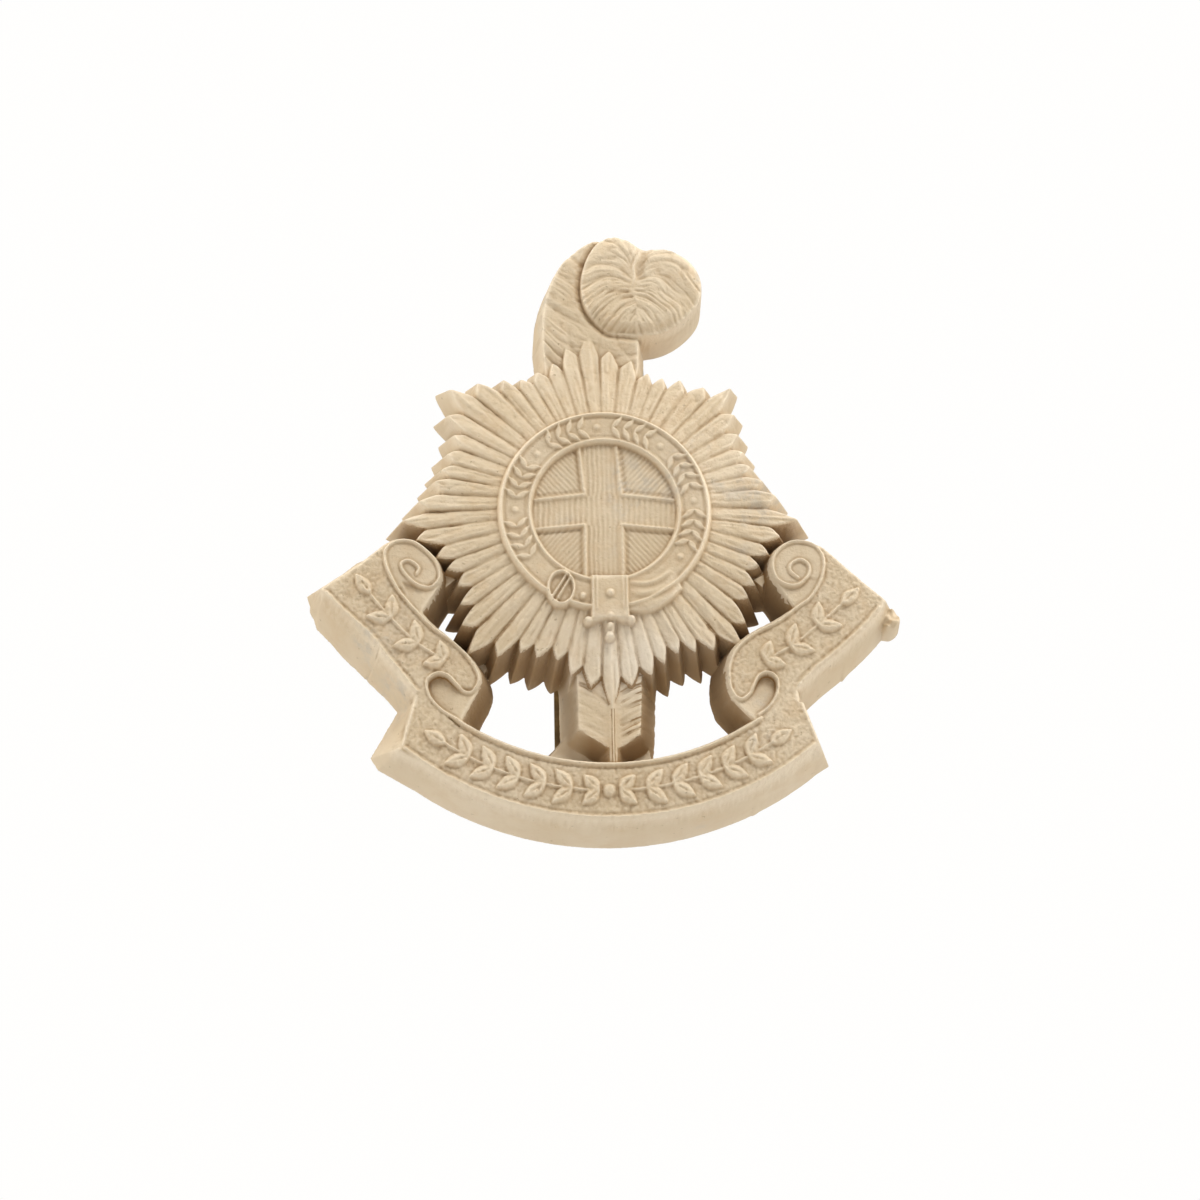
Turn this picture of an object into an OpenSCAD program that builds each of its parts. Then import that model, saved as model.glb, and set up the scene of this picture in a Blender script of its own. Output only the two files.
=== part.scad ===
// Moulded economy cap badge: a rayed star with a buckled strap and a cross, a plume above,
// a three-part ribbon scroll below, and two soft brass fixing blades in the flat back.
// The badge stands as it is worn: X to the right, Z up, the face looking along -Y and the
// back on the plane y = 0. The origin is on the back, behind the centre of the strap.

/* [Moulding] */
// Height of the scroll's face above the back
scroll_height = 4.8; // [4.4:0.1:5.2]
// Height of the star's points above the back
star_tip_height = 3.9; // [3.5:0.1:4.2]
// Height of the star where it meets the strap
star_crown_height = 5.0; // [4.8:0.1:5.2]
// Height of the plume's stem above the back
plume_height = 4.3; // [4:0.1:4.6]
// Height of the quill's vane above the back
quill_height = 3.6; // [3.2:0.1:4]
// Slope of every side wall, in degrees, which lets the badge leave its mould
draft = 12; // [8:1:14]

/* [Strap and centre] */
// Outer radius of the strap
strap_outer_r = 8.1; // [7.8:0.1:8.4]
// Inner radius of the strap
strap_inner_r = 5.6; // [5.3:0.1:5.8]
// Height of the strap's band above the back
strap_height = 5.35; // [5.3:0.05:5.5]
// Width of the raised rims of the strap and the cross
rim_width = 0.35; // [0.3:0.05:0.45]
// Height of those rims above the band
rim_height = 0.25; // [0.15:0.05:0.35]
// Height of the sunk disc inside the strap
disc_height = 4.9; // [4.7:0.1:5.1]
// Width of the cross's arms
cross_width = 2.2; // [2:0.1:2.6]

/* [Scroll] */
// Radius of the lower scroll's upper edge
scroll_inner_r = 19.8; // [19.4:0.1:20.2]
// Radius of the lower scroll's lower edge
scroll_outer_r = 24.3; // [24:0.1:24.8]
// Radius of the rolled ends beside the star
volute_r = 2.05; // [1.8:0.05:2.2]

/* [Blades] */
// Width of each brass blade
blade_width = 7.5; // [6.6:0.1:8]
// Thickness of each brass blade
blade_thickness = 0.6; // [0.5:0.05:0.7]
// Length of each blade beyond its bend
blade_length = 14.5; // [12:0.5:15]
// Distance from the centre to each blade's root
blade_offset = 7; // [6.5:0.5:8]
// Gap behind the back that the folded blade leaves for the cap's cloth
cloth_gap = 2.1; // [2.05:0.05:2.4]
// Depth of the blade's foot inside the moulding
foot_depth = 2.2; // [1.8:0.1:2.6]
// Length of the blade's foot along the badge
foot_length = 3.6; // [3:0.1:4]

/* [Hidden] */
$fn = 96;
overlap = 0.5; // how far joined shapes reach into each other
bend_gap = 0.03; // running gap at the blade's bend
foot_share = 0.35; // height of a wall's lower step, as a part of the whole wall
top_share = 0.4; // how far the upper step stands out, as a part of the whole slope
tip_chamfer = 1.6; // cut corners at the blade's tip
bend_depth = cloth_gap + blade_thickness / 2; // the bend's axis, behind the back

// The buckle's ring, the keeper beside it and the pellets of the strap's end
buckle_centre = [-3.4, -6.4];
buckle_outer_r = 1.15;
buckle_inner_r = 0.65;
buckle_height = 5.75;
keeper_corner = [-1.1, -8.9];
keeper_size = [2.7, 3.4];
PELLETS = [[-1.2, -8.9], [1.7, -8.9], [0.2, -10.3]];
pellet_r = 0.5;

// The star's main points, anticlockwise from the right: [angle, distance from the centre,
// how much shorter the middle rays are from there to the next main point]
STAR_POINTS = [
    [-0.9, 14.8, 0.2], [46.9, 14.6, 0.18], [93.6, 15.1, 0.18], [138.2, 15.4, 0.17],
    [181.3, 15.3, 0.17], [226.6, 14.9, 0.2], [271.4, 15.2, 0.2], [314.5, 14.6, 0.16], [359.1, 14.8, 0]
];
rays_between = 7; // steps from one main point to the next
notch_depth = 0.65; // how far the notches cut in between the points
groove_depth = 0.3; // how far the grooves between the rays sink
groove_angle = 120; // of the grooves' V

// Side band of the scroll, on the right: its lower edge, then back along its upper edge
BAND_OUTLINE = [
    [21.2, -6.5], [16.8, -2.6], [13.2, -6], [11.4, -9.9], [9.9, -11.2], [9.3, -12.6],
    [9.6, -14.1], [10.5, -14.5], [12.4, -16], [14.5, -14.2], [16, -12.6], [18.2, -10.5], [19.75, -8.7]
];
volute_centre = [14.7, -4.1];
// The lower band's ends, which its two arcs run between
BAND_ENDS = [[-17, -26], [17, -26], [14.6, -15.2], [13, -14.4], [-13, -14.4], [-14.6, -15.2]];

// Stem of the plume, anticlockwise from its lower right corner
STEM_OUTLINE = [
    [2.6, 11.5], [2.7, 14.2], [3.4, 15.5], [3.4, 22.4], [2.3, 23.2], [1.1, 23.5], [-0.7, 23],
    [-2.6, 21.3], [-3.8, 18.7], [-4.2, 15.8], [-4.1, 11.5]
];
curl_centre = [3.1, 18.5]; // the drooping tip of the plume
curl_radii = [4.7, 3.8];
curl_height = 4.9;
curl_draft = 4; // its sides are steeper than the rest
curl_step = 15; // degrees between the points of its outline

// Quill below the star, with its vane cut to a V, anticlockwise from the upper right
QUILL_OUTLINE = [
    [2.6, -11.5], [-2.3, -11.5], [-2.2, -17], [-0.1, -18.5], [-0.1, -20.2], [0.9, -20.2],
    [0.9, -18.5], [2.5, -17.6]
];
WEB_OUTLINE = [[3.1, -12], [-3.1, -12], [-3.1, -16.8], [-3.4, -18.8], [3.4, -18.8], [3.1, -16.8]];
web_height = 1.4; // of the thin web that joins the quill to the scroll

function unit(v) = v / norm(v);
function wrap(list, i) = list[(i + len(list)) % len(list)];
function mirrored(outline) = [for (i = [len(outline) - 1:-1:0]) [-outline[i].x, outline[i].y]];

// An anticlockwise outline with every side moved outwards by the same distance
function grown(outline, distance) = [
    for (i = [0:len(outline) - 1])
        let (
            before = unit(outline[i] - wrap(outline, i - 1)),
            after = unit(wrap(outline, i + 1) - outline[i]),
            mitre = [before.y + after.y, -before.x - after.x]
        )
        outline[i] + distance * mitre / max(1 + before * after, 0.5)
];

// A raised shape whose sloping walls are stepped: a wide foot under a narrower top
module raised(outline, height, angle = draft) {
    slope = height * tan(angle);
    linear_extrude(height * foot_share)
        polygon(grown(outline, slope));
    linear_extrude(height)
        polygon(grown(outline, slope * top_share));
}

// Turns a shape drawn flat, with its height along Z, into the badge's upright frame
module upright() rotate([90, 0, 0]) children();

// --- Star ---

star_main = len(STAR_POINTS) - 1;
star_rays = star_main * rays_between;
star_reach = 15.5; // distance at which the rays' surface is at the points' height

function star_tip(i) =
    let (
        k = floor(i / rays_between) % star_main,
        t = (i % rays_between) / rays_between,
        point = STAR_POINTS[k] + (STAR_POINTS[k + 1] - STAR_POINTS[k]) * t
    )
    [
        STAR_POINTS[k][0] + t * ((STAR_POINTS[k + 1][0] - STAR_POINTS[k][0] + 360) % 360),
        point[1] * (1 - STAR_POINTS[k][2] * sin(180 * t))
    ];

// Points and notches in turn: even entries are the rays' points
function star_edge(i) =
    let (here = star_tip(floor(i / 2)), next = star_tip((floor(i / 2) + 1) % star_rays))
    i % 2 == 0
        ? here
        : [
            here[0] + ((next[0] - here[0] + 360) % 360) / 2,
            min(here[1], next[1]) - notch_depth
        ];

// The rays' common surface falls from the strap to the points, with a groove between rays
module star() {
    edge = [for (i = [0:2 * star_rays - 1]) star_edge(i)];
    reach = max([for (e = edge) e[1]]) + 1;
    fall = (star_crown_height - star_tip_height) / (star_reach - strap_outer_r);
    apex = star_crown_height + strap_outer_r * fall;
    difference() {
        intersection() {
            raised([for (e = edge) e[1] * [cos(e[0]), sin(e[0])]], star_crown_height);
            cylinder(r1 = apex / fall, r2 = 0, h = apex);
        }
        for (i = [1:2:2 * star_rays - 1])
            rotate(edge[i][0])
                translate([strap_outer_r - 1, 0, star_crown_height + fall - groove_depth])
                    rotate([0, 90 + atan(fall), 0])
                        linear_extrude(reach)
                            polygon([[0, 0], [-1, -tan(groove_angle / 2)], [-1, tan(groove_angle / 2)]]);
    }
}

// --- Strap, disc and cross ---

module ring(outer_r, inner_r, height) {
    difference() {
        cylinder(r = outer_r, h = height);
        translate([0, 0, -1])
            cylinder(r = inner_r, h = height + 2);
    }
}

module strap() {
    cylinder(r = strap_outer_r - overlap / 2, h = disc_height);
    ring(strap_outer_r, strap_inner_r, strap_height);
    ring(strap_outer_r, strap_outer_r - rim_width, strap_height + rim_height);
    ring(strap_inner_r + rim_width, strap_inner_r, strap_height + rim_height);
}

// Raised edges of one quarter's corner of the cross, cut to the disc
module cross() {
    intersection() {
        cylinder(r = strap_inner_r + rim_width / 2, h = strap_height);
        for (quarter = [0:3])
            rotate(90 * quarter)
                for (along = [0, 1])
                    mirror([along, along ? -1 : 0, 0])
                        translate([cross_width / 2, cross_width / 2, disc_height - overlap])
                            cube([strap_inner_r, rim_width, overlap + rim_height]);
    }
}

module buckle() {
    translate([buckle_centre.x, buckle_centre.y, disc_height])
        ring(buckle_outer_r, buckle_inner_r, buckle_height - disc_height);
    translate([keeper_corner.x, keeper_corner.y, strap_height - overlap])
        cube([keeper_size.x, keeper_size.y, overlap + rim_height]);
    for (pellet = PELLETS)
        translate([pellet.x, pellet.y, star_tip_height])
            cylinder(r = pellet_r, h = strap_height - star_tip_height);
}

// --- Scroll ---

module lower_scroll_step(height, slope) {
    intersection() {
        ring(scroll_outer_r + slope, scroll_inner_r - slope, height);
        translate([0, 0, -1])
            linear_extrude(height + 2)
                polygon(grown(BAND_ENDS, slope));
    }
}

module lower_scroll() {
    slope = scroll_height * tan(draft);
    lower_scroll_step(scroll_height * foot_share, slope);
    lower_scroll_step(scroll_height, slope * top_share);
}

module side_scrolls() {
    for (outline = [BAND_OUTLINE, mirrored(BAND_OUTLINE)])
        raised(outline, scroll_height);
    for (side = [-1, 1])
        translate([side * volute_centre.x, volute_centre.y, 0])
            cylinder(
                r1 = volute_r + scroll_height * tan(draft),
                r2 = volute_r,
                h = scroll_height + rim_height
            );
}

// --- Plume and quill ---

module plume() {
    raised(STEM_OUTLINE, plume_height);
    raised(
        [for (a = [0:curl_step:359]) curl_centre + [curl_radii.x * cos(a), curl_radii.y * sin(a)]],
        curl_height, curl_draft
    );
}

module quill() {
    raised(QUILL_OUTLINE, quill_height);
    raised(WEB_OUTLINE, web_height);
}

// --- Brass blades, drawn for the lower one ---

module blade_root_shape() {
    translate([-blade_width / 2, -foot_depth, -blade_offset - blade_thickness / 2])
        cube([blade_width, foot_depth + cloth_gap - bend_gap, blade_thickness]);
    translate([-blade_width / 2, -foot_depth, -blade_offset - blade_thickness / 2])
        cube([blade_width, blade_thickness, foot_length]);
}

module blade_shape() {
    tip = blade_length;
    half = blade_width / 2;
    translate([0, bend_depth, -blade_offset]) {
        rotate([0, 90, 0])
            cylinder(d = blade_thickness, h = blade_width, center = true);
        translate([0, -blade_thickness / 2, 0])
            rotate([-90, 0, 0])
                linear_extrude(blade_thickness)
                    polygon([[-half, 0], [-half, tip - tip_chamfer], [tip_chamfer - half, tip],
                             [half - tip_chamfer, tip], [half, tip - tip_chamfer], [half, 0]]);
    }
}

module moulding() {
    color([0.83, 0.75, 0.62])
        difference() {
            upright() {
                star();
                strap();
                cross();
                buckle();
                lower_scroll();
                side_scrolls();
                plume();
                quill();
            }
            blade_root_shape();
            mirror([0, 0, 1])
                blade_root_shape();
        }
}

module lower_blade_root() color([0.45, 0.33, 0.17]) blade_root_shape();

module lower_blade() color([0.45, 0.33, 0.17]) blade_shape();

module upper_blade_root() color([0.45, 0.33, 0.17]) mirror([0, 0, 1]) blade_root_shape();

module upper_blade() color([0.45, 0.33, 0.17]) mirror([0, 0, 1]) blade_shape();

moulding();
upper_blade_root();
upper_blade();
lower_blade_root();
lower_blade();
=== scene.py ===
"""A moulded economy cap badge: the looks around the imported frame.

The moulding is one relief, worked out as a height above its flat back on a fine grid. Each motif
has a function of its own. Lengths in the relief are in millimetres: x runs to the right and z up,
as in the frame, and the face looks along -Y. The badge's mottos are left out, and plain laurel
sprays and pellets stand in their place.
"""

import math

import bpy
import numpy as np
from mathutils import Matrix, Vector


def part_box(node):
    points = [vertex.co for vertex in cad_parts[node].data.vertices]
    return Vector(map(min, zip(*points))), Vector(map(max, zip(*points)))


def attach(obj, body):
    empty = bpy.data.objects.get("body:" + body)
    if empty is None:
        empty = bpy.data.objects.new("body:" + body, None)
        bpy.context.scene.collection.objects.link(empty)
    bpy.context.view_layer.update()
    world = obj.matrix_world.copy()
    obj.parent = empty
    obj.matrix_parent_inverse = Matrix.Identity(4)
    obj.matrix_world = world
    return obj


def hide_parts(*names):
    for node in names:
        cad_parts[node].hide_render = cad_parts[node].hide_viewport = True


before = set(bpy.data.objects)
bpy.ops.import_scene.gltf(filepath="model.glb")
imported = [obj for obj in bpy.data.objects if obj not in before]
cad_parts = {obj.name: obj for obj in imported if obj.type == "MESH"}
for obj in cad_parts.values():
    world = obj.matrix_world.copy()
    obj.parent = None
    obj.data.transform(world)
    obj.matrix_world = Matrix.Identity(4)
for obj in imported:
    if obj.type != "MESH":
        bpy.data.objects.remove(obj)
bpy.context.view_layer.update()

MM = 0.001
PITCH = 0.05  # of the relief's grid
MARGIN = 0.6  # of the grid, around the CAD moulding
MAX_TRIANGLES = 190_000  # of the finished moulding
WALL = 1 / math.tan(math.radians(12))  # how steeply every side wall rises
REACH = 1.7  # how far from an outline its wall is worked out
FAR = 9.0  # beyond any height in the relief
OPEN = -4.0  # the relief's value where there is no plastic
ARC_STEPS = 60  # points on every arc
SOFT_EDGE = 0.12  # half the width over which set_inside fades in

low, high = (np.array(corner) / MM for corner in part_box("moulding"))
xs = np.arange(low[0] - MARGIN, high[0] + MARGIN, PITCH)
zs = np.arange(low[2] - MARGIN, high[2] + MARGIN, PITCH)
X, Z = np.meshgrid(xs, zs)
R, ANGLE = np.hypot(X, Z), np.degrees(np.arctan2(Z, X))


# --- Small tools for shaping the relief ---


def smooth_min(a, b, size):
    """The lower of two surfaces, with their crossing rounded over about that height."""
    share = np.clip(0.5 + 0.5 * (b - a) / size, 0, 1)
    return b + (a - b) * share - size * share * (1 - share)


def smooth_max(a, b, size):
    """The higher of two surfaces, rounded in the same way."""
    return -smooth_min(-a, -b, size)


def bump(t):
    """A smooth hump, 1 at t = 0 and 0 from t = 1 outwards."""
    return np.clip(1 - t * t, 0, 1) ** 2


def ramp(value, start, end):
    """0 at start and 1 at end, smoothly."""
    t = np.clip((value - start) / (end - start), 0, 1)
    return t * t * (3 - 2 * t)


LATTICE = np.random.default_rng(11).random((256, 256))


def noise(u, v, offset=0):
    """Smooth noise between -1 and 1, with features one unit across."""
    u, v = u + offset * 17.3, v + offset * 9.1
    i, j = np.floor(u).astype(int), np.floor(v).astype(int)
    s, t = ramp(u - i, 0, 1), ramp(v - j, 0, 1)
    i0, i1, j0, j1 = i % 256, (i + 1) % 256, j % 256, (j + 1) % 256
    near = LATTICE[i0, j0] * (1 - s) + LATTICE[i1, j0] * s
    far = LATTICE[i0, j1] * (1 - s) + LATTICE[i1, j1] * s
    return 2 * (near * (1 - t) + far * t) - 1


def creases(u, v, offset=0, sharpness=5):
    """Thin creases, 1 at their bottom and 0 between them, about one unit apart."""
    return (1 - np.abs(noise(u, v, offset))) ** sharpness


def blur(grid, width, passes=2):
    """The grid averaged over about that width, by passes of a running mean each way."""
    half = max(1, round(width / PITCH / 2))
    for axis in (0, 1) * passes:
        edges = [(half + 1, half) if k == axis else (0, 0) for k in (0, 1)]
        total = np.cumsum(np.pad(grid, edges, mode="edge"), axis=axis)
        size = grid.shape[axis]
        upper = np.take(total, np.arange(size) + 2 * half + 1, axis=axis)
        grid = (upper - np.take(total, np.arange(size), axis=axis)) / (2 * half + 1)
    return grid


def curve(points, steps=8):
    """A smooth line through the points (Catmull-Rom)."""
    p = np.array(points, float)
    p = np.vstack([2 * p[0] - p[1], p, 2 * p[-1] - p[-2]])
    t = np.arange(steps)[:, None] / steps
    runs = []
    for a, b, c, d in zip(p[:-3], p[1:-2], p[2:-1], p[3:]):
        run = 2 * b + (c - a) * t
        run = run + (2 * a - 5 * b + 4 * c - d) * t**2
        run = run + (3 * b - a - 3 * c + d) * t**3
        runs.append(0.5 * run)
    return np.vstack(runs + [p[-2:-1]])


def outline(*runs):
    """A closed outline made of smooth runs that meet at corners."""
    return np.vstack([curve(run) if len(run) > 2 else np.array(run, float) for run in runs])


def closed(points, steps):
    """A smooth closed line through the points."""
    return curve(points + points[:1], steps)


def arc(radius, start, end):
    """Points on a circle round the origin, between two angles in degrees."""
    angles = np.radians(np.linspace(start, end, ARC_STEPS))
    return np.column_stack([radius * np.cos(angles), radius * np.sin(angles)])


def window(points, reach):
    """The slices of the grid that lie within reach of some points."""
    start, end = np.min(points, 0) - reach, np.max(points, 0) + reach
    rows = slice(*(int(k) for k in np.searchsorted(zs, (start[1], end[1]))))
    columns = slice(*(int(k) for k in np.searchsorted(xs, (start[0], end[0]))))
    return rows, columns


def distance(points, reach):
    """Around a line of points: (window, distance from the line, way along it from 0 to 1)."""
    points = np.asarray(points, float)
    where = window(points, reach)
    gap = np.full(X[where].shape, float(reach))
    along = np.zeros_like(gap)
    steps = np.linalg.norm(np.diff(points, axis=0), axis=1)
    passed = np.concatenate([[0], np.cumsum(steps)])
    for k in np.flatnonzero(steps > 0):
        rows, columns = window(points[k : k + 2], reach)
        local = (
            slice(rows.start - where[0].start, rows.stop - where[0].start),
            slice(columns.start - where[1].start, columns.stop - where[1].start),
        )
        way = (points[k + 1] - points[k]) / steps[k]
        dx, dz = X[rows, columns] - points[k, 0], Z[rows, columns] - points[k, 1]
        t = np.clip(dx * way[0] + dz * way[1], 0, steps[k])
        d = np.hypot(dx - t * way[0], dz - t * way[1])
        closer = d < gap[local]
        gap[local][closer] = d[closer]
        along[local][closer] = (passed[k] + t[closer]) / passed[-1]
    return where, gap, along


def depth_inside(shape):
    """Around a closed outline: (window, distance from it, positive inside)."""
    shape = np.asarray(shape, float)
    where, gap, _ = distance(np.vstack([shape, shape[:1]]), REACH)
    x, z = xs[where[1]], zs[where[0]]
    inside = np.zeros(gap.shape, bool)
    for (ax, az), (bx, bz) in zip(shape, np.roll(shape, -1, 0)):
        rows = (az > z) != (bz > z)
        if rows.any():
            crossing = ax + (z[rows] - az) * (bx - ax) / (bz - az)
            inside[rows] ^= x[None, :] < crossing[:, None]
    return where, np.where(inside, gap, -gap)


def merge(relief, shape, face, slope=WALL, rounding=0.45, blend=0.1):
    """Stands a shape with sloping walls on the relief. Its height and slope are numbers or grids."""
    where, depth = depth_inside(shape)
    top = face[where] if isinstance(face, np.ndarray) else face
    rise = slope[where] if isinstance(slope, np.ndarray) else slope
    body = top + smooth_min(0 * depth, depth * rise, rounding)
    relief[where] = smooth_max(relief[where], body, blend)


def merge_block(relief, corners, slopes, face):
    """As merge, for a convex block given anticlockwise, whose walls meet in sharp edges."""
    corners = np.array(corners, float)
    where = window(corners, 2 * REACH)
    rise = np.full(X[where].shape, FAR)
    for (ax, az), (bx, bz), slope in zip(corners, np.roll(corners, -1, 0), slopes):
        across = (bx - ax) * (Z[where] - az) - (bz - az) * (X[where] - ax)
        rise = np.minimum(rise, slope * WALL * across / math.hypot(bx - ax, bz - az))
    body = face[where] + smooth_min(0 * rise, rise, 0.45)
    relief[where] = np.maximum(relief[where], body)


def stroke(grid, points, half_width, height, taper=False):
    """Adds a rounded ridge, or with a negative height a groove, along a line of points."""
    where, gap, along = distance(points, half_width)
    strength = np.sqrt(np.clip(4 * along * (1 - along), 0, 1)) if taper else 1
    grid[where] += height * bump(gap / half_width) * strength


def set_inside(grid, shape, value):
    """Gives the grid the values of another one inside an outline."""
    where, depth = depth_inside(shape)
    share = ramp(depth, -SOFT_EDGE, SOFT_EDGE)
    grid[where] += (value[where] - grid[where]) * share


def dot(grid, x, z, radius, height):
    """Raises a round pellet."""
    where = window([(x, z)], radius)
    t = np.hypot(X[where] - x, Z[where] - z) / radius
    grid[where] += height * np.clip(1 - t**3, 0, 1)


def knob(relief, x, z, radius, top):
    """A domed pellet standing in the relief."""
    where = window([(x, z)], radius)
    t = np.hypot(X[where] - x, Z[where] - z) / radius
    body = top - 1.5 * radius * (1 - np.sqrt(np.clip(1 - t**2, 0, 1)))
    relief[where] = np.maximum(relief[where], np.where(t < 1, body, -FAR))


# --- Scroll ---

GROUND = 4.48  # height of the scroll's sunk ground
RIM = 0.3  # height of the rims above it
ORNAMENT = 0.4  # height of the laurel above it
SCROLL_INNER, SCROLL_OUTER = 19.85, 24.3  # radii of the lower band
SCROLL_MIDDLE = (SCROLL_INNER + SCROLL_OUTER) / 2

# The ribbon's inner rim on each side, from the eye of the volute to the lower band's upper edge
RIM_LEFT = [
    (-14.3, -5.0), (-14.15, -4.5), (-14.65, -4.0), (-15.1, -3.9), (-15.5, -4.2), (-15.3, -4.8),
    (-14.6, -5.6), (-13.9, -6.0), (-13.1, -5.95), (-12.6, -5.2), (-12.8, -4.1), (-13.65, -3.05),
    (-14.7, -2.35), (-15.9, -2.35), (-16.65, -3.0), (-16.65, -4.1), (-15.95, -5.8), (-14.85, -7.35),
    (-13.15, -9.2), (-11.7, -10.3), (-10.45, -11.6), (-9.7, -13.0), (-9.75, -13.8), (-10.2, -14.35),
    (-10.7, -14.3), (-11.3, -13.8), (-11.9, -13.1), (-12.7, -12.85), (-13.5, -13.4), (-13.4, -14.4),
    (-13.0, -15.1), (-12.3, -15.8), (-11.3, -16.5),
]
RIM_RIGHT = [
    (14.7, -5.3), (14.1, -4.75), (14.15, -4.2), (14.85, -3.8), (15.5, -4.2), (15.5, -5.0),
    (14.75, -5.8), (13.9, -5.85), (13.05, -5.3), (12.75, -4.2), (13.1, -3.2), (14.15, -2.4),
    (15.35, -2.35), (16.25, -2.8), (16.7, -3.8), (16.5, -5.2), (15.6, -6.8), (14.5, -7.65),
    (13.1, -8.75), (11.2, -9.75), (9.85, -10.95), (9.3, -12.1), (9.2, -13.4), (9.4, -14.4),
    (10.0, -14.95), (10.7, -14.5), (11.05, -13.8), (11.5, -13.05), (12.2, -12.85), (12.8, -13.4),
    (12.7, -14.5), (12.1, -15.5), (11.3, -16.2),
]
SIDE_LEFT = outline(
    [(-21.4, -6.2), (-20.1, -7.8), (-17.95, -9.95), (-16.7, -11.6), (-15.6, -13.0), (-14.4, -14.6)],
    [(-14.4, -15.5), (-11.0, -16.6)],
    [(-9.75, -14.3), (-9.45, -13.4), (-9.65, -12.5), (-10.4, -11.4), (-11.6, -10.2), (-13.1, -8.9),
     (-13.9, -8.0)],
    [(-12.6, -5.8), (-12.4, -5.1), (-12.65, -4.0), (-13.5, -2.95), (-14.6, -2.15), (-15.8, -2.05),
     (-16.8, -2.5)],
    [(-16.9, -2.6), (-19.2, -4.6), (-21.4, -6.15)],
)
SIDE_RIGHT = outline(
    [(21.3, -7.0), (20.9, -7.9), (19.6, -9.4), (17.7, -11.2), (15.9, -12.7), (14.3, -14.2)],
    [(14.4, -15.3), (10.9, -16.6)],
    [(9.3, -14.8), (9.0, -13.6), (9.1, -12.0), (9.65, -10.8), (11.0, -9.6), (13.0, -8.5), (14.3, -7.6)],
    [(13.3, -6.0), (12.6, -5.0), (12.55, -4.1), (13.0, -3.0), (14.1, -2.2), (15.3, -2.1), (16.5, -2.6)],
    [(16.9, -2.9), (19.3, -5.2), (21.2, -6.9)],
)
LOWER_BAND = np.vstack([
    [(-13.2, -14.5), (-14.5, -15.1)],
    arc(SCROLL_OUTER, 230.4, 310.6),
    [(14.7, -15.2), (13.2, -14.7)],
    arc(SCROLL_INNER, 311.5, 228.5),
])
# Where the ribbon turns over and shows its smooth back: outline, deep point, shallow point, depth
FOLDS = [
    ([(-11.2, -14.0), (-9.7, -14.3), (-10.9, -16.7), (-12.3, -15.8), (-13.3, -14.5), (-13.4, -13.5),
      (-12.7, -13.0), (-12.0, -13.2)], (-12.9, -13.4), (-10.2, -15.4), 0.6),
    ([(11.1, -13.9), (10.8, -14.6), (10.0, -15.2), (9.2, -14.8), (11.0, -16.5), (12.1, -15.5),
      (12.7, -14.4), (12.7, -13.4), (12.1, -12.95), (11.5, -13.2)], (12.3, -13.2), (10.4, -15.9), 0.6),
    ([(-15.35, -5.6), (-14.6, -5.75), (-13.9, -6.1), (-12.9, -6.1), (-13.9, -8.2), (-14.7, -7.3)],
     (-14.9, -5.4), (-13.6, -7.4), 0.12),
    ([(15.6, -5.2), (14.8, -5.9), (13.9, -6.0), (13.2, -5.9), (14.3, -7.8), (15.5, -6.7), (16.3, -5.5)],
     (13.8, -6.2), (15.2, -6.6), 0.12),
]
VOLUTES = [(-14.65, -4.1, 2.15), (14.7, -4.1, 2.0)]  # x, z and radius
VOLUTE_FACE = GROUND + 0.12
# The ribbon's ends, whose walls meet in sharp edges: corners, anticlockwise, and the steepness of
# the wall after each corner, as a share of WALL
END_BLOCKS = [
    ([(-21.5, -6.08), (-21.42, -6.35), (-17.95, -9.95), (-16.4, -8.0), (-18.6, -4.1)],
     (1.03, 0.68, 1, 1, 0.65)),
    ([(21.3, -7.0), (18.4, -4.4), (16.4, -8.0), (18.3, -10.6)], (1, 1, 1, 1)),
    ([(-13.4, -14.8), (-15.62, -18.8), (-15.5, -19.0), (-11.5, -21.35), (-10.2, -17.5)],
     (0.43, 0.62, 1, 1, 1)),
    ([(14.7, -15.2), (10.2, -17.5), (11.5, -21.35), (15.85, -18.5)], (1, 1, 1, 1)),
]
UPPER_EDGE = arc(SCROLL_INNER + 0.2, 235.6, 305.0)
UPPER_EDGE_GROOVE = arc(SCROLL_INNER + 0.48, 236, 304.6)
LOWER_EDGES = [
    arc(SCROLL_OUTER - 0.2, 231, 310),
    curve([
        (-21.1, -6.4), (-19.9, -7.7), (-17.75, -9.8), (-16.5, -11.45), (-15.4, -12.85), (-14.3, -14.3),
    ]),
    curve([(20.8, -7.6), (19.5, -9.1), (17.6, -10.9), (15.8, -12.4), (14.4, -13.8)]),
]
BAND_ENDS = [[(-14.55, -15.5), (-15.3, -18.5)], [(14.65, -15.6), (15.65, -18.3)]]
# Half width and height of the rims and of the grooves along them
RIM_RIDGE, RIM_GROOVE = (0.19, RIM + 0.12), (0.36, -0.12)
UPPER_RIDGE, UPPER_GROOVE = (0.2, RIM), (0.15, -0.1)
LOWER_RIDGE, LOWER_GROOVE = (0.17, 0.2), (0.14, -0.1)
END_RIDGE = (0.17, 0.12)
# The laurel: where the sprays run, outwards from the middle, and how many pairs of leaves they have
LOWER_SPRAYS = [(268, 233.5), (272, 306.5)]  # angles on the lower band
SIDE_SPRAYS = [
    [(-12.2, -11.9), (-14.6, -10.2), (-17.0, -7.6), (-18.6, -5.4)],
    [(11.9, -11.9), (14.3, -10.5), (16.9, -8.3), (19.0, -6.4)],
]
LOWER_PAIRS, SIDE_PAIRS = 6, 3
LEAF_LENGTH, LEAF_WIDTH = 1.9, 0.56
LEAF_SPREAD = math.radians(43)  # between a leaf and its stem
STEM_WIDTH = 0.16


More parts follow.
